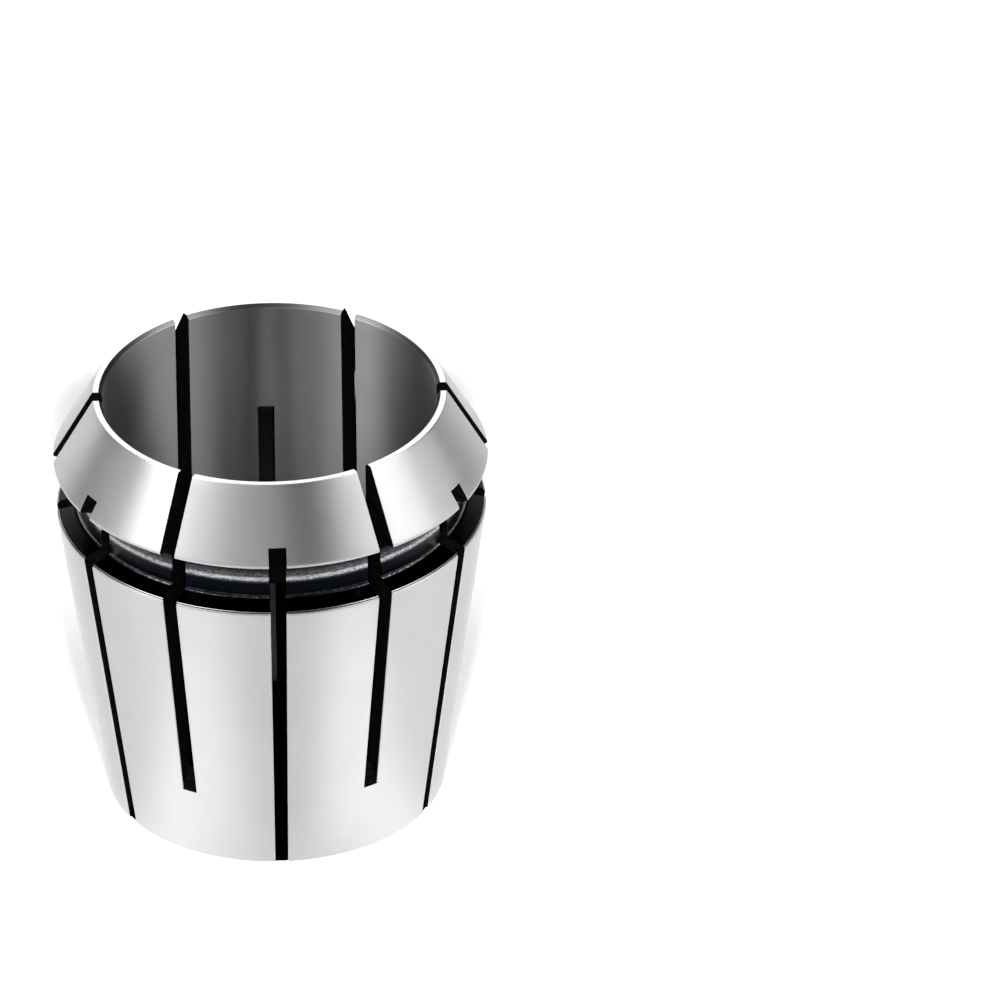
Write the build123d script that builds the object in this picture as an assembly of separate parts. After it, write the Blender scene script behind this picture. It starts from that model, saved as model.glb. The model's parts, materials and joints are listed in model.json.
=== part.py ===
from build123d import *
import math
import os

# A spring collet, turned, sawn and ground from one piece of steel.
# It stands on its rear end: the axis is Z, the rear face is at z = 0 and the nose points up.
# Lengths are in millimetres and angles in degrees.

# The long taper that seats in the holder
gauge_diameter = 41.0
taper_half_angle = 8.0
body_length = 30.7
rear_wall = 0.31
rear_edge_break = 0.12
shoulder_edge_break = 0.2

# The groove that the clamping nut pulls on
neck_depth = 2.0
neck_length = 3.75
shoulder_rise = 0.55
flank_rise = 0.8
shoulder_fillet = 0.5
flank_fillet = 1.0

# The nose cone that the clamping nut presses on, and the flat ring around the mouth of the bore
nose_overhang = 0.15
nose_land = 0.25
nose_half_angle = 30.0
face_ring = 0.6
mouth_chamfer = 0.33

# The saw cuts, as many from the nose as from the rear, which take turns around the axis.
# A cut from the rear has sprung a little narrower at its open end.
slots_per_end = 6
front_slot_width = 1.4
rear_slot_mouth = 1.22
rear_slot_root = 1.56
rear_web = 7.65
nose_web = 5.2
saw_radius = 30.0
saw_entry_angle = 50.6

# How far a cutting solid runs past what it cuts
overrun = 5.0

# Sizes that follow from the ones above
taper_slope = math.tan(math.radians(taper_half_angle))
nose_slope = math.tan(math.radians(nose_half_angle))
gauge_radius = gauge_diameter / 2
rear_radius = gauge_radius - body_length * taper_slope
bore_radius = rear_radius - rear_wall
neck_radius = gauge_radius - neck_depth
nose_radius = gauge_radius + nose_overhang
face_radius = bore_radius + mouth_chamfer + face_ring
neck_bottom = body_length + shoulder_rise
neck_top = neck_bottom + neck_length
nose_edge = neck_top + flank_rise
cone_start = nose_edge + nose_land
overall_length = cone_start + (nose_radius - face_radius) / nose_slope


def half_section():
    """The section on one side of the axis, from the rear face up the outside and back down the bore."""
    shoulder_slope = shoulder_rise / neck_depth
    outline = Polyline(
        (bore_radius, 0),
        (rear_radius - rear_edge_break, 0),
        (rear_radius + rear_edge_break * taper_slope, rear_edge_break),
        (gauge_radius - shoulder_edge_break * taper_slope, body_length - shoulder_edge_break),
        (gauge_radius - shoulder_edge_break, body_length + shoulder_edge_break * shoulder_slope),
        (neck_radius, neck_bottom),
        (neck_radius, neck_top),
        (nose_radius, nose_edge),
        (nose_radius, cone_start),
        (face_radius, overall_length),
        (bore_radius + mouth_chamfer, overall_length),
        (bore_radius, overall_length - mouth_chamfer),
        close=True,
    )
    section = make_face(Plane.XZ * outline)
    low_corner = section.vertices().sort_by_distance((neck_radius, 0, neck_bottom))[0]
    section = fillet(low_corner, shoulder_fillet)
    high_corner = section.vertices().sort_by_distance((neck_radius, 0, neck_top))[0]
    return fillet(high_corner, flank_fillet)


def slot_prism(low_width, low_height, high_width, high_height):
    """A flat wedge that reaches outwards from the axis along +X, with its own width at each height."""
    face = Plane.YZ * Polygon(
        (-low_width / 2, low_height),
        (low_width / 2, low_height),
        (high_width / 2, high_height),
        (-high_width / 2, high_height),
        align=None,
    )
    return extrude(face, nose_radius + overrun)


def saw_path(end_radius, end_height, direction):
    """What a round saw sweeps: a disc that meets the outside at the slot's end, and all that lies behind it.
    The direction is 1 for a saw that comes from the rear and -1 for one that comes from the nose."""
    entry = math.radians(saw_entry_angle)
    centre_radius = end_radius + saw_radius * math.sin(entry)
    centre_height = end_height - direction * saw_radius * math.cos(entry)
    tail = overall_length + overrun
    disc = Pos(centre_radius, centre_height) * Circle(saw_radius)
    sweep = Pos(centre_radius / 2, centre_height - direction * tail / 2) * Rectangle(centre_radius, tail)
    return extrude(Plane.XZ * (disc + sweep), max(front_slot_width, rear_slot_root), both=True)


def rear_slot():
    """One cut from the rear end, which runs out on the nose cone."""
    end_height = overall_length - nose_web
    end_radius = min(nose_radius, face_radius + nose_web * nose_slope)
    prism = slot_prism(rear_slot_mouth, 0, rear_slot_root, end_height)
    below = slot_prism(rear_slot_mouth, -overrun, rear_slot_mouth, 0)
    return (prism + below) & saw_path(end_radius, end_height, 1)


def front_slot():
    """One cut from the nose, which runs out on the taper a little above the rear end."""
    end_radius = rear_radius + rear_web * taper_slope
    prism = slot_prism(front_slot_width, rear_web, front_slot_width, overall_length + overrun)
    return prism & saw_path(end_radius, rear_web, -1)


def collet():
    """The turned blank with every saw cut taken out of it.
    The blank is revolved from a plane between two cuts, so that its round faces start in whole metal."""
    step = 360 / slots_per_end
    body = Rot(0, 0, step / 8) * revolve(half_section(), axis=Axis.Z)
    for index in range(slots_per_end):
        body -= Rot(0, 0, index * step) * front_slot()
        body -= Rot(0, 0, (index + 0.5) * step) * rear_slot()
    return body


os.makedirs("parts", exist_ok=True)
export_step(collet(), "parts/collet.step")
print("overall length", round(overall_length, 3), "bore radius", round(bore_radius, 4))
print("rear radius", round(rear_radius, 4), "face radius", round(face_radius, 4))
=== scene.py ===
import json
import math

import bmesh
import bpy
import numpy as np
from mathutils import Matrix, Vector


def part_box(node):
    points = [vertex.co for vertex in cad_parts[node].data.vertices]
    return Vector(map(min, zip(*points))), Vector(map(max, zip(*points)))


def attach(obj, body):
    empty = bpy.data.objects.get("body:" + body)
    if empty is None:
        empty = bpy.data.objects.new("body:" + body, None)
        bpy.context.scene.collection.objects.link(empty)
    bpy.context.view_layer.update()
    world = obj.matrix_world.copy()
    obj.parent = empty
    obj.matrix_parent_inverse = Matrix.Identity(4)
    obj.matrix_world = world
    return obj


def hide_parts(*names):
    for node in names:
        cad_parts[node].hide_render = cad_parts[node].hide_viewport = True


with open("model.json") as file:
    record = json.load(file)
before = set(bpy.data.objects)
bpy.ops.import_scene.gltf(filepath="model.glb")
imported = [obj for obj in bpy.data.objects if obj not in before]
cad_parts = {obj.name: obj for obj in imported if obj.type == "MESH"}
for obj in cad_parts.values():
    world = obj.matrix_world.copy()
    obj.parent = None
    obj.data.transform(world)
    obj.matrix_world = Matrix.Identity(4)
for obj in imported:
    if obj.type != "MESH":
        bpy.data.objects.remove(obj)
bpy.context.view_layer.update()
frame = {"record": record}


# The camera stands in front of the collet and looks down on it, a long way off through a long lens.
# It is aimed to the right of the collet, as in the photograph, so the picture needs no shift.
picture_width = 1000
focal_pixels = 14663.5
camera_distance = 1.4
camera_elevation = math.radians(32.133)
camera_roll = math.radians(1.026)
camera_turn = math.radians(1.3555)
aim_height = 0.023
aim_pixel = (272.63, 567.62)


def turn_about_z(angle):
    """The matrix that turns a point about the Z axis by an angle."""
    cosine, sine = math.cos(angle), math.sin(angle)
    return np.array([[cosine, -sine, 0], [sine, cosine, 0], [0, 0, 1]])


def camera_place():
    """The camera's matrix: level axes at the elevation, then the roll, then a small swing that moves the
    point at aim_height on the collet's axis from the picture's middle to aim_pixel."""
    cosine, sine = math.cos(camera_elevation), math.sin(camera_elevation)
    level = np.array([[1, 0, 0], [0, sine, cosine], [0, cosine, -sine]])
    rolled = turn_about_z(camera_roll) @ level @ turn_about_z(camera_turn)
    middle = picture_width / 2
    ray = np.array([aim_pixel[0] - middle, middle - aim_pixel[1], focal_pixels])
    ray = ray / np.linalg.norm(ray)
    swing_axis = np.cross([0, 0, 1], ray)
    cross = np.array([
        [0, -swing_axis[2], swing_axis[1]],
        [swing_axis[2], 0, -swing_axis[0]],
        [-swing_axis[1], swing_axis[0], 0],
    ])
    swing = np.eye(3) + cross + cross @ cross / (1 + ray[2])
    right, up, forward = swing @ rolled
    place = np.array([0, 0, aim_height]) - camera_distance * (right * ray[0] + up * ray[1] + forward * ray[2])
    matrix = Matrix.Identity(4)
    for row in range(3):
        matrix[row] = (right[row], up[row], -forward[row], place[row])
    return matrix


camera_data = bpy.data.cameras.new("camera")
camera_data.sensor_width = 36
camera_data.lens = focal_pixels * camera_data.sensor_width / picture_width
camera_data.clip_end = 50
camera = bpy.data.objects.new("camera", camera_data)
camera.matrix_world = camera_place()
bpy.context.scene.collection.objects.link(camera)
bpy.context.scene.camera = camera


# The collet is one piece of spring steel, turned and bored, sawn from both ends, hardened, and ground last.
# Grinding leaves the taper, the nose, the face and the bore bright, and a stone breaks the edges of the cuts.
# The groove and the cuts are not ground, so they keep the black skin of the hardening.
mm = 0.001
bore_mount = next(mount for mount in frame["record"]["mounts"] if mount["name"] == "bore")
bore_radius = bore_mount["dims"]["r_mm"] * mm
overall_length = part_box("collet")[1].z
gauge_radius = 20.5 * mm
nose_radius = 20.65 * mm
neck_radius = 18.5 * mm
body_length = 30.7 * mm
neck_bottom = 31.25 * mm
neck_top = 35.0 * mm
nose_edge = 35.8 * mm
cone_start = 36.05 * mm
taper_slope = math.tan(math.radians(8))
nose_slope = math.tan(math.radians(30))
mouth_chamfer = 0.33 * mm
shoulder_break = 0.2 * mm
shoulder_foot = body_length - shoulder_break
shoulder_top = body_length + 0.055 * mm
rear_radius = gauge_radius - body_length * taper_slope
face_radius = nose_radius - (overall_length - cone_start) * nose_slope

slot_count = 12
edge_break = 0.07 * mm
front_slot_half = 0.7 * mm
rear_mouth_half = 0.61 * mm
rear_root_half = 0.78 * mm
front_slot_end = 7.65 * mm
rear_slot_end = 37.5 * mm
saw_radius = 30 * mm
saw_entry = math.radians(50.6)

# How closely the skin is divided: along a straight, round a corner, and in shares of the way from one cut to
# the next, across the web beyond a cut, and along a cut's closed end.
run_step = 1.0 * mm
arc_steps = 6
bar_shares = np.concatenate([[0, 0.01], np.linspace(0.04, 0.96, 19), [0.99, 1]])
web_shares = np.linspace(0, 1, 5)
end_shares = np.linspace(0, 1, 11)
weld_distance = 0.0002 * mm
crease_angle = math.radians(20)


def saw_height(radius, end_radius, end_height, direction):
    """The height of a cut's closed end at a radius: a circle of the saw's radius through the end on the
    outside, where its radius stands at the entry angle. The direction is 1 for a saw from the rear, and -1
    for one from the nose."""
    centre_radius = end_radius + saw_radius * math.sin(saw_entry)
    centre_height = end_height - direction * saw_radius * math.cos(saw_entry)
    return centre_height + direction * np.sqrt(saw_radius ** 2 - (centre_radius - radius) ** 2)


rear_end_radius = face_radius + (overall_length - rear_slot_end) * nose_slope
front_end_radius = rear_radius + front_slot_end * taper_slope
rear_inner_end = float(saw_height(bore_radius, rear_end_radius, rear_slot_end, 1))
front_inner_end = float(saw_height(bore_radius, front_end_radius, front_slot_end, -1))

# Each corner of the section has a radius, a height, a rounding, the finish of the rounding, the finish of the
# straight after it, and the heights on that straight where a cut ends. The outline starts at the rear of the
# bore, runs out and up the outside, and comes back down the bore. The body's top edge has a black band
# between two bright lines, because only its two corners were touched by the stone.
section_corners = [
    (bore_radius, 0, 0.08 * mm, "rear", "rear", ()),
    (rear_radius, 0, 0.12 * mm, "taper", "taper", (front_slot_end,)),
    (gauge_radius - shoulder_break * taper_slope, shoulder_foot, 0.45 * mm, "edge", "groove", ()),
    (gauge_radius - shoulder_break, shoulder_top, 0.12 * mm, "edge", "groove", ()),
    (neck_radius, neck_bottom, 0.5 * mm, "groove", "groove", ()),
    (neck_radius, neck_top, 1.0 * mm, "groove", "groove", ()),
    (nose_radius, nose_edge, 0.12 * mm, "land", "land", ()),
    (nose_radius, cone_start, 0.4 * mm, "nose", "nose", (rear_slot_end,)),
    (face_radius, overall_length, 0.1 * mm, "face", "face", ()),
    (bore_radius + mouth_chamfer, overall_length, 0.08 * mm, "mouth", "mouth", ()),
    (bore_radius, overall_length - mouth_chamfer, 0.1 * mm, "bore", "bore", (rear_inner_end, front_inner_end)),
]


def corner_arc(before, here, after, rounding):
    """The arc that rounds a corner: its points, its outward normals, and how far it reaches along each side.
    It touches both sides, so its centre stands off each by the rounding and its normal turns with the path."""
    came = (here - before) / np.linalg.norm(here - before)
    goes = (after - here) / np.linalg.norm(after - here)
    turn = math.atan2(came[0] * goes[1] - came[1] * goes[0], came @ goes)
    reach = rounding * math.tan(abs(turn) / 2)
    side = np.array([came[1], -came[0]])
    angles = np.linspace(0, turn, arc_steps + 1)[:, None]
    normals = side * np.cos(angles) + came * np.sin(angles)
    centre = here - came * reach - side * rounding * np.sign(turn)
    return centre + normals * rounding * np.sign(turn), normals, reach


def straight_rows(here, after, near_reach, far_reach, stops):
    """The points on a straight between two rounded corners: evenly spaced, with one at each height where a cut
    ends and one on either side of it by the width of the broken edge."""
    length = np.linalg.norm(after - here)
    goes = (after - here) / length
    count = max(2, round((length - near_reach - far_reach) / run_step) + 1)
    steps = np.linspace(near_reach, length - far_reach, count)[1:-1]
    if stops:
        ends = (np.array(stops) - here[1]) / goes[1]
        ends = np.concatenate([ends - edge_break, ends, ends + edge_break])
        clear = np.abs(steps[:, None] - ends).min(axis=1) > 2 * edge_break
        steps = np.sort(np.concatenate([steps[clear], ends]))
    return here + goes * steps[:, None], np.tile([goes[1], -goes[0]], (len(steps), 1))


def section_outline():
    """The closed outline of the section, corner by corner: its points, outward normals and finishes."""
    places = np.array([corner[:2] for corner in section_corners])
    count = len(places)
    after = np.roll(places, -1, axis=0)
    arcs = [corner_arc(places[i - 1], places[i], after[i], section_corners[i][2]) for i in range(count)]
    points, normals, finishes = [], [], []
    for i, (arc_points, arc_normals, reach) in enumerate(arcs):
        arc_finish, straight_finish, stops = section_corners[i][3:]
        next_reach = arcs[(i + 1) % count][2]
        row_points, row_normals = straight_rows(places[i], after[i], reach, next_reach, stops)
        points += [arc_points, row_points]
        normals += [arc_normals, row_normals]
        finishes += [arc_finish] * arc_steps + [straight_finish] * (len(row_points) + 1)
    return np.concatenate(points), np.concatenate(normals), np.array(finishes)


outline, outline_normal, outline_finish = section_outline()
row_count = len(outline)
outline_length = np.concatenate([[0], np.cumsum(np.linalg.norm(np.diff(outline, axis=0), axis=1))])
inset = outline - outline_normal * edge_break


def row_at(finish, height):
    """The row of the outline with this finish that lies nearest to a height: a row of another finish counts as
    a metre further off."""
    return int(np.argmin(np.abs(outline[:, 1] - height) + (outline_finish != finish)))


def half_width(heights, kind):
    """Half a cut's width: even for a cut from the nose, and widening with height for one from the rear."""
    if kind == "front":
        return np.full_like(heights, front_slot_half)
    return rear_mouth_half + (rear_root_half - rear_mouth_half) * heights / rear_slot_end


def rows_between(first, last):
    """The rows of the outline from one to another, round past its start where the last comes before."""
    count = (last - first) % row_count + 1
    return (first + np.arange(count)) % row_count


# Where a cut opens the skin: a front cut from its end on the taper up over the nose to its end in the bore,
# and a rear cut from its end in the bore down over the rear face and up to its end on the nose.
cut_rows = {
    "front": rows_between(row_at("taper", front_slot_end), row_at("bore", front_inner_end)),
    "rear": rows_between(row_at("bore", rear_inner_end), row_at("nose", rear_slot_end)),
}
saw_ends = {
    "front": (front_end_radius, front_slot_end, -1),
    "rear": (rear_end_radius, rear_slot_end, 1),
}


def kind_of(slot):
    """Cuts from the nose and from the rear take turns around the axis."""
    return "front" if slot % 2 == 0 else "rear"


def place(points, angle, aside):
    """Points at a radius and height, stood aside by a distance from the plane through the axis at an angle:
    along the plane they lie at the root of radius squared less aside squared."""
    along = np.sqrt(points[..., 0] ** 2 - aside ** 2)
    cosine, sine = np.cos(angle), np.sin(angle)
    heights = points[..., 1] + 0 * along
    return np.stack([along * cosine - aside * sine, along * sine + aside * cosine, heights], -1)


def around(rows, angles):
    """A grid of points on the skin: a row of the outline for each row, an angle for each column."""
    radii = outline[rows, 0][:, None]
    heights = np.repeat(outline[rows, 1][:, None], angles.shape[1], axis=1)
    return np.stack([radii * np.cos(angles), radii * np.sin(angles), heights], -1)


patches = []
wall_polygons = []


def add_patch(points, finishes, lengths, across):
    """Keeps a grid of points as a patch of four-sided faces, with a finish for each of its rows, the length
    along the outline of each row, and the length across it of each point."""
    patches.append((points, finishes, lengths, across))


def slot_angle(slot):
    """The angle of a cut's middle plane."""
    return slot * 2 * math.pi / slot_count


def edge_turn(rows, kind):
    """The angle from a cut's middle to where its broken edge starts, for each row of the outline."""
    half = half_width(outline[rows, 1], kind) + edge_break
    return np.arcsin(half / outline[rows, 0])


def add_bar(slot):
    """The skin between a cut and the next: the whole outline carried around the axis from edge to edge."""
    rows = np.arange(row_count + 1) % row_count
    left = slot_angle(slot) + edge_turn(rows, kind_of(slot))
    right = slot_angle(slot + 1) - edge_turn(rows, kind_of(slot + 1))
    angles = left[:, None] + (right - left)[:, None] * bar_shares
    lengths = np.append(outline_length, outline_length[-1] + np.linalg.norm(outline[0] - outline[-1]))
    add_patch(around(rows, angles), outline_finish, lengths, angles * gauge_radius)


def add_web(slot):
    """The skin across a cut's middle where the cut does not reach: the rest of the outline."""
    cut = cut_rows[kind_of(slot)]
    count = row_count - len(cut)
    rows = (cut[-1] + 1 + np.arange(count)) % row_count
    turn = edge_turn(rows, kind_of(slot))
    angles = slot_angle(slot) + turn[:, None] * (2 * web_shares - 1)
    lengths = outline_length[rows[0]] + np.arange(count) * run_step
    points = around(rows, angles)
    add_patch(points, outline_finish[rows[:-1]], lengths, angles * gauge_radius)
    return points


# The finishes that a cut's broken edge keeps from the skin beside it. Every other broken edge is black.
edge_finishes = ("taper", "edge", "groove")


def add_edges(slot, walls):
    """The broken edges along a cut: on each side a strip one face wide from the skin to the cut's wall."""
    kind = kind_of(slot)
    rows = cut_rows[kind]
    skin_rows = np.concatenate([[rows[0] - 1], rows, [(rows[-1] + 1) % row_count]])
    skin_finish = outline_finish[skin_rows]
    finishes = np.where(np.isin(skin_finish, edge_finishes), skin_finish, "cut")
    lengths = np.arange(len(skin_rows)) * run_step
    across = np.tile([0, edge_break], (len(skin_rows), 1))
    for side, wall in zip((-1, 1), walls):
        angles = slot_angle(slot) + side * edge_turn(skin_rows, kind)
        skin = around(skin_rows, angles[:, None])[:, 0]
        wall_edge = np.concatenate([wall[:1], wall, wall[-1:]])
        add_patch(np.stack([skin, wall_edge], axis=1), finishes[:-1], lengths, across)


def add_end(slot, web):
    """The closed end of a cut, and the broken edges where it meets the web of skin beyond it. The end runs
    straight from its edge outside to its edge in the bore, raised by how far the saw's circle stands off that
    straight line. It returns the end as a grid of points."""
    kind = kind_of(slot)
    rows = cut_rows[kind]
    edges = []
    for row in (rows[0], rows[-1]):
        lateral = half_width(inset[row:row + 1, 1], kind) * (2 * web_shares - 1)
        edges.append(place(np.repeat(inset[row:row + 1], len(web_shares), axis=0), slot_angle(slot), lateral))
    first, last = edges
    radii = inset[rows[0], 0] + (inset[rows[-1], 0] - inset[rows[0], 0]) * end_shares
    curve = saw_height(radii, *saw_ends[kind])
    end_face = first + (last - first) * end_shares[:, None, None]
    end_face[..., 2] += (curve - (curve[0] + (curve[-1] - curve[0]) * end_shares))[:, None]
    across = np.tile(web_shares * front_slot_half, (len(end_shares), 1))
    add_patch(end_face, ["cut"] * (len(end_shares) - 1), end_shares * run_step, across)
    for skin_edge, end_edge in ((web[-1], first), (web[0], last)):
        add_patch(np.stack([skin_edge, end_edge]), ["cut"], np.array([0, edge_break]), across[:2])
    return end_face


def add_cut(slot, web):
    """One saw cut: two flat walls, each a single face, the round end, and the broken edges."""
    rows = cut_rows[kind_of(slot)]
    aside = half_width(inset[rows, 1], kind_of(slot))
    walls = [place(inset[rows], slot_angle(slot), side * aside) for side in (-1, 1)]
    add_edges(slot, walls)
    end_face = add_end(slot, web)
    for column, wall in zip((0, -1), walls):
        wall_polygons.append(np.concatenate([wall, end_face[1:-1, column][::-1]]))


for slot in range(slot_count):
    add_bar(slot)
    add_cut(slot, add_web(slot))

# Each finish's place in the collet's list of materials. All others are ground steel, which is first.
finish_material = {"groove": 1, "cut": 2, "bore": 3, "mouth": 4, "face": 5}


def collet_mesh():
    """Joins all patches and wall polygons into one closed mesh, with its materials and its map of lengths."""
    vertices, faces, materials, maps = [], [], [], []
    offset = 0
    for points, finishes, lengths, across in patches:
        rows, columns = points.shape[:2]
        index = offset + np.arange(rows * columns).reshape(rows, columns)
        quads = np.stack([index[:-1, :-1], index[:-1, 1:], index[1:, 1:], index[1:, :-1]], -1)
        faces += quads.reshape(-1, 4).tolist()
        chosen = np.array([finish_material.get(finish, 0) for finish in finishes])
        materials.append(np.repeat(chosen, columns - 1))
        vertices.append(points.reshape(-1, 3))
        maps.append(np.stack([np.repeat(lengths, columns), across.reshape(-1)], -1))
        offset += rows * columns
    for border in wall_polygons:
        faces.append(list(range(offset, offset + len(border))))
        materials.append([finish_material["cut"]])
        vertices.append(border)
        maps.append(border[:, [2, 0]])
        offset += len(border)
    mesh = bpy.data.meshes.new("collet_steel")
    mesh.from_pydata(np.concatenate(vertices).tolist(), [], faces)
    mesh.polygons.foreach_set("material_index", np.concatenate(materials).astype(np.int32))
    corner_vertices = np.empty(len(mesh.loops), dtype=np.int32)
    mesh.loops.foreach_get("vertex_index", corner_vertices)
    corner_map = np.concatenate(maps)[corner_vertices] / gauge_radius
    length_map = mesh.uv_layers.new(name="length_map")
    length_map.data.foreach_set("uv", corner_map.astype(np.float32).ravel())
    work = bmesh.new()
    work.from_mesh(mesh)
    bmesh.ops.remove_doubles(work, verts=work.verts, dist=weld_distance)
    bmesh.ops.recalc_face_normals(work, faces=work.faces)
    work.to_mesh(mesh)
    work.free()
    mesh.polygons.foreach_set("use_smooth", np.ones(len(mesh.polygons), dtype=bool))
    mesh.set_sharp_from_angle(angle=crease_angle)
    return mesh


def add_node(tree, kind, **values):
    """Adds a shader node and sets its properties and, by position or name, its inputs."""
    node = tree.nodes.new(kind)
    for name, value in values.items():
        if name == "inputs":
            for socket, content in value.items():
                if isinstance(content, bpy.types.NodeSocket):
                    tree.links.new(content, node.inputs[socket])
                else:
                    node.inputs[socket].default_value = content
        else:
            setattr(node, name, value)
    return node


def turned_coordinates(tree):
    """The angle about the axis, the radius and the height of a point, from Object coordinates."""
    coordinates = add_node(tree, "ShaderNodeTexCoord")
    parts = add_node(tree, "ShaderNodeSeparateXYZ", inputs={0: coordinates.outputs["Object"]})
    angle = add_node(tree, "ShaderNodeMath", operation="ARCTAN2",
                     inputs={0: parts.outputs[1], 1: parts.outputs[0]})
    flat = add_node(tree, "ShaderNodeVectorMath", operation="MULTIPLY",
                    inputs={0: coordinates.outputs["Object"], 1: (1, 1, 0)})
    radius = add_node(tree, "ShaderNodeVectorMath", operation="LENGTH", inputs={0: flat.outputs[0]})
    return angle.outputs[0], radius.outputs["Value"], parts.outputs[2], coordinates.outputs["Object"]


def scaled(tree, value, factor):
    """A value times a factor."""
    return add_node(tree, "ShaderNodeMath", operation="MULTIPLY", inputs={0: value, 1: factor}).outputs[0]


def product(tree, first, second):
    """One value times another."""
    return add_node(tree, "ShaderNodeMath", operation="MULTIPLY", inputs={0: first, 1: second}).outputs[0]


def between(tree, value, low, high, new_low, new_high, smooth=False):
    """A value taken from one range to another, and held at its ends."""
    kind = "SMOOTHSTEP" if smooth else "LINEAR"
    return add_node(tree, "ShaderNodeMapRange", interpolation_type=kind,
                    inputs={0: value, 1: low, 2: high, 3: new_low, 4: new_high}).outputs[0]


def grey(shade, blue=1.0):
    """A grey of a shade, with a share of blue."""
    return (shade, shade, shade * blue, 1)


def noise(tree, inputs, detail, roughness=0.5):
    """Noise whose scale is in its inputs: one grain is one long in each of them."""
    grain_place = add_node(tree, "ShaderNodeCombineXYZ", inputs=inputs)
    return add_node(tree, "ShaderNodeTexNoise",
                    inputs={"Vector": grain_place.outputs[0], "Scale": 1.0, "Detail": detail,
                            "Roughness": roughness}).outputs[0]


def mix(tree, share, first, second):
    """A colour between two, by a share from 0 to 1."""
    colours = {0: share, 6: first, 7: second}
    return add_node(tree, "ShaderNodeMix", data_type="RGBA", inputs=colours).outputs[2]


def ground_steel(name, shade, smooth, rough, spread, painted_shade_top=None):
    """Bright ground steel. The wheel's marks run around the axis: grains 0.17 mm wide and two thirds of a
    radian long set the roughness, from smooth to rough, and the gloss spreads along the axis by the spread. A
    cloud of 8 mm grains turns the shade by 2%, from bluish to plain. Where a top height is given, the steel
    below it is painted black, a painted shade deep in the bore, and clears over the last 2 mm."""
    material = bpy.data.materials.new(name)
    material.use_nodes = True
    tree = material.node_tree
    shader = tree.nodes["Principled BSDF"]
    angle, radius, height, plain = turned_coordinates(tree)
    marks_per_radian = 1.5
    marks_per_metre = 6000
    clouds_per_metre = 120.0
    painted_shade_fade = 2 * mm
    black_skin_and_shade = (0.006, 0.007, 0.009, 1)
    mark_place = {
        0: scaled(tree, angle, marks_per_radian),
        1: scaled(tree, radius, marks_per_metre),
        2: scaled(tree, height, marks_per_metre),
    }
    marks = noise(tree, mark_place, detail=5.0, roughness=0.65)
    cloud = add_node(tree, "ShaderNodeTexNoise",
                     inputs={"Vector": plain, "Scale": clouds_per_metre, "Detail": 3.0})
    cloud_share = between(tree, cloud.outputs[0], 0.35, 0.65, 0, 1)
    colour = mix(tree, cloud_share, grey(0.98 * shade, 1 / 0.98), grey(1.02 * shade))
    # Painted shade: below the top height the steel is painted black, darkening the deep part of the bore.
    if painted_shade_top:
        ground = between(tree, height, painted_shade_top - painted_shade_fade, painted_shade_top, 0, 1, smooth=True)
        colour = mix(tree, ground, black_skin_and_shade, colour)
    tree.links.new(colour, shader.inputs["Base Color"])
    tree.links.new(between(tree, marks, 0.3, 0.7, smooth, rough), shader.inputs["Roughness"])
    shader.inputs["Metallic"].default_value = 1
    shader.inputs["Anisotropic"].default_value = spread
    tangent = add_node(tree, "ShaderNodeTangent", direction_type="UV_MAP", uv_map="length_map")
    tree.links.new(tangent.outputs[0], shader.inputs["Tangent"])
    return material


def stripe(tree, height, rise, fall, rest=0):
    """A stripe around the axis: it rises from 0 to 1 between two heights, and falls to what rests between two
    more. The heights are in millimetres."""
    up = between(tree, height, rise[0] * mm, rise[1] * mm, 0, 1, smooth=True)
    down = between(tree, height, fall[0] * mm, fall[1] * mm, 1, rest, smooth=True)
    return product(tree, up, down)


def broken_up(tree, value, speckle, low, high, least, most):
    """A value times the least where the speckle is low, and times the most where it is high."""
    return product(tree, value, between(tree, speckle, low, high, least, most))


def larger(tree, first, second):
    """The larger of two values."""
    return add_node(tree, "ShaderNodeMath", operation="MAXIMUM", inputs={0: first, 1: second}).outputs[0]


def black_groove():
    """Turned steel with the black skin of hardening, and highlights painted on it in a bright steel colour: a
    bright line in a paler band around the neck, and a broken line in the corner under it. Each rises and falls
    with height, and streaks of noise around the axis, 0.3 mm long and 0.1 mm high, break it up."""
    material = bpy.data.materials.new("black_turned_steel")
    material.use_nodes = True
    tree = material.node_tree
    shader = tree.nodes["Principled BSDF"]
    angle, radius, height, _ = turned_coordinates(tree)
    black_skin_and_shade = (0.0022, 0.0028, 0.0050, 1)
    highlight_steel = (0.5, 0.5, 0.52, 1)
    streak_place = {0: scaled(tree, angle, 60), 1: scaled(tree, radius, 3000), 2: scaled(tree, height, 9000)}
    speckle = noise(tree, streak_place, detail=6.0, roughness=0.75)
    line = stripe(tree, height, rise=(32.95, 33.25), fall=(33.35, 33.7))
    line = broken_up(tree, line, speckle, low=0.40, high=0.62, least=0.2, most=1)
    band = stripe(tree, height, rise=(32.75, 33.3), fall=(33.5, 34.4), rest=0.15)
    band = broken_up(tree, band, speckle, low=0.42, high=0.68, least=0.04, most=0.3)
    corner = stripe(tree, height, rise=(31.25, 31.35), fall=(31.4, 31.6))
    corner = broken_up(tree, corner, speckle, low=0.46, high=0.66, least=0.02, most=0.4)
    neck = between(tree, radius, neck_radius + 0.1 * mm, neck_radius + 0.4 * mm, 1, 0)
    # Painted highlight: the line, the band and the corner line are painted in a bright steel colour on the
    # black skin.
    painted_highlight = product(tree, larger(tree, line, band), neck)
    colour = mix(tree, larger(tree, painted_highlight, corner), black_skin_and_shade, highlight_steel)
    tree.links.new(colour, shader.inputs["Base Color"])
    shader.inputs["Metallic"].default_value = 1
    shader.inputs["Roughness"].default_value = 0.2
    return material


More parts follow.
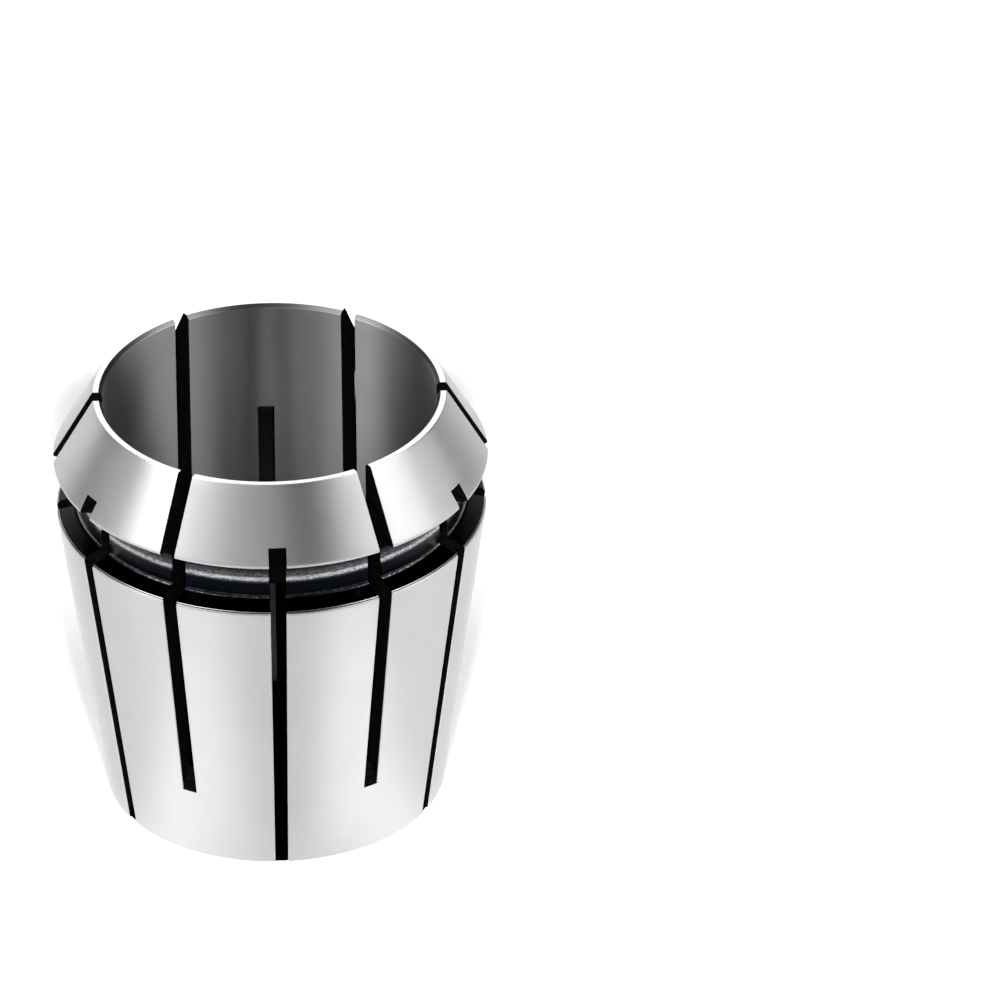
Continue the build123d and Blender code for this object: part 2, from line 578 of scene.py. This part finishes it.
def black_cut():
    """The walls of the saw cuts: a rough black skin with streaks 1.7 mm long in the radius and 0.3 mm high."""
    material = bpy.data.materials.new("black_sawn_steel")
    material.use_nodes = True
    tree = material.node_tree
    shader = tree.nodes["Principled BSDF"]
    _, radius, height, _ = turned_coordinates(tree)
    marks = noise(tree, {0: scaled(tree, radius, 600), 1: scaled(tree, height, 3000)}, detail=4.0)
    colour = mix(tree, between(tree, marks, 0.35, 0.65, 0, 1), grey(0.0003), grey(0.0012))
    tree.links.new(colour, shader.inputs["Base Color"])
    tree.links.new(between(tree, marks, 0.3, 0.7, 0.8, 0.95), shader.inputs["Roughness"])
    shader.inputs["Specular IOR Level"].default_value = 0.0
    return material


# The lower bore is painted black, a painted shade deep in it: through the front cut the photograph shows it
# black.
steel_mesh = collet_mesh()
for material in (
    ground_steel("ground_steel", shade=0.44, smooth=0.34, rough=0.40, spread=0.9),
    black_groove(),
    black_cut(),
    ground_steel("honed_steel", shade=0.42, smooth=0.38, rough=0.42, spread=0.95, painted_shade_top=23 * mm),
    # The mouth chamfer's steel is painted dark: a painted dark reflection in the thin line around the mouth.
    ground_steel("chamfer_steel", shade=0.1, smooth=0.34, rough=0.40, spread=0.5),
    ground_steel("face_steel", shade=0.48, smooth=0.24, rough=0.30, spread=0.0),
):
    steel_mesh.materials.append(material)
collet_steel = bpy.data.objects.new("collet_steel", steel_mesh)
bpy.context.scene.collection.objects.link(collet_steel)
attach(collet_steel, "root")
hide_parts("collet")


# The floor is a wide sheet of plain pale board whose rim rises a little, so that it also stands behind the
# collet in a picture from low down. Under the collet it has a hole, hidden by the body, so that no light comes
# up through the bore: in the photograph the bore is black as seen through the front cut.
floor_hole = 15.95 * mm
floor_reach = 2.2
floor_rim_reach = 2.3
floor_rim_rise = 0.05
floor_sides = 128
rim_angles = np.linspace(0, 2 * math.pi, floor_sides, endpoint=False)
circle = np.stack([np.cos(rim_angles), np.sin(rim_angles), 0 * rim_angles], -1)
floor_rings = [circle * floor_hole, circle * floor_reach, circle * floor_rim_reach + [0, 0, floor_rim_rise]]
ring_index = np.arange(len(floor_rings) * floor_sides).reshape(len(floor_rings), floor_sides)
next_index = np.roll(ring_index, -1, axis=1)
floor_faces = np.stack([ring_index[:-1], ring_index[1:], next_index[1:], next_index[:-1]], -1)
floor_mesh = bpy.data.meshes.new("floor")
floor_mesh.from_pydata(np.concatenate(floor_rings).tolist(), [], floor_faces.reshape(-1, 4).tolist())
floor = bpy.data.objects.new("floor", floor_mesh)
bpy.context.scene.collection.objects.link(floor)
floor_material = bpy.data.materials.new("white_board")
floor_material.use_nodes = True
floor_shader = floor_material.node_tree.nodes["Principled BSDF"]
floor_shader.inputs["Base Color"].default_value = (0.4, 0.4, 0.4, 1)
floor_shader.inputs["Roughness"].default_value = 0.7
floor_shader.inputs["Specular IOR Level"].default_value = 0.0
floor_mesh.materials.append(floor_material)


# The studio's lamps light the floor only. Two wide, far lamps stand on either side of the line from the
# camera and a little higher, so the collet hides most of its shadow, and the gap between them keeps light out
# of the cuts that the camera looks through. Four small spots make pools of light on the floor: the two in front
# show as bright bands in the body, and the two behind fill the half shadow on either side.
def stand_at(lamp, distance, azimuth, elevation, aim):
    """Places a lamp at a distance, azimuth and elevation from the collet's foot and points it at a spot on the
    floor, given in millimetres. It doesn't show in the steel, where the soft boxes do."""
    azimuth, elevation = math.radians(azimuth), math.radians(elevation)
    level = math.cos(elevation)
    direction = Vector((level * math.cos(azimuth), level * math.sin(azimuth), math.sin(elevation)))
    lamp.location = distance * direction
    spot = Vector((aim[0], aim[1], 0)) * mm
    lamp.rotation_euler = (lamp.location - spot).to_track_quat("Z", "Y").to_euler()
    lamp.visible_glossy = False
    bpy.context.scene.collection.objects.link(lamp)


lamp_distance = 40.0
lamp_elevation = 34
lamp_wide = 2 * lamp_distance * math.tan(math.radians(6) / 2)
lamp_high = 2 * lamp_distance * math.tan(math.radians(2) / 2)
for name, azimuth in (("left_lamp", 262.5), ("right_lamp", 275.5)):
    lamp_data = bpy.data.lights.new(name, "AREA")
    lamp_data.shape = "RECTANGLE"
    lamp_data.size = lamp_wide
    lamp_data.size_y = lamp_high
    lamp_data.energy = 54000
    stand_at(bpy.data.objects.new(name, lamp_data), lamp_distance, azimuth, lamp_elevation, (0, 0))

pool_distance = 1.5
pool_elevation = 25
for name, azimuth, aim, cone, energy in (
    ("left_front_pool", 235, (-24, -33), 1.3, 390),
    ("right_front_pool", 305, (25, -33), 1.3, 430),
    ("left_rear_pool", 100, (-28, 50), 1.2, 190),
    ("right_rear_pool", 80, (30, 50), 1.2, 190),
):
    lamp_data = bpy.data.lights.new(name, "SPOT")
    lamp_data.energy = energy
    lamp_data.shadow_soft_size = 2 * mm
    lamp_data.spot_size = math.radians(cone)
    lamp_data.spot_blend = 1
    stand_at(bpy.data.objects.new(name, lamp_data), pool_distance, azimuth, pool_elevation, aim)


# The world holds the soft boxes that show in the steel, and lights nothing else. Each is a round patch of sky
# at an azimuth and elevation, at full strength out to its inner angle and gone at its outer angle, in degrees.
# They are placed for the bands of the photograph: two on the left and two on the right for the bright parts
# of the nose and the bore, a dim one in front, one behind for the face, and four faint ones for the sides.
world = bpy.data.worlds.new("soft_boxes")
world.use_nodes = True
bpy.context.scene.world = world
world_tree = world.node_tree
background = world_tree.nodes["Background"]
sky = add_node(world_tree, "ShaderNodeTexCoord").outputs["Generated"]
sky_height = add_node(world_tree, "ShaderNodeSeparateXYZ", inputs={0: sky}).outputs[2]
soft_boxes = [
    ("left glow", 185, 25, 5, 35, 0.8),
    ("left low box", 195, 35, 8, 15, 4.0),
    ("left high box", 200, 55, 15, 25, 6.0),
    ("front box", 260, 40, 8, 20, 1.0),
    ("right glow", 305, 20, 2, 12, 1.0),
    ("right high box", 340, 50, 8, 18, 8.0),
    ("right low box", 350, 30, 8, 16, 4.5),
    ("right strip", 5, 0, 8, 24, 2.4),
    ("left strip", 135, 0, 2, 16, 1.8),
    ("back box", 90, 30, 8, 24, 2.6),
]
room_light = 0.05
light = room_light
for name, azimuth, elevation, inner, outer, strength in soft_boxes:
    azimuth, elevation = math.radians(azimuth), math.radians(elevation)
    level = math.cos(elevation)
    direction = (level * math.cos(azimuth), level * math.sin(azimuth), math.sin(elevation))
    toward = add_node(world_tree, "ShaderNodeVectorMath", operation="DOT_PRODUCT", label=name,
                      inputs={0: sky, 1: direction}).outputs["Value"]
    edge, core = math.cos(math.radians(outer)), math.cos(math.radians(inner))
    glow = between(world_tree, toward, edge, core, 0, strength, smooth=True)
    light = add_node(world_tree, "ShaderNodeMath", operation="ADD", inputs={0: glow, 1: light}).outputs[0]
above = between(world_tree, sky_height, -0.02, 0.0, 0, 1)
light = product(world_tree, light, above)
world_tree.links.new(light, background.inputs["Color"])
world.cycles_visibility.diffuse = False

# White board photographs as white.
bpy.context.scene.view_settings.view_transform = "Standard"
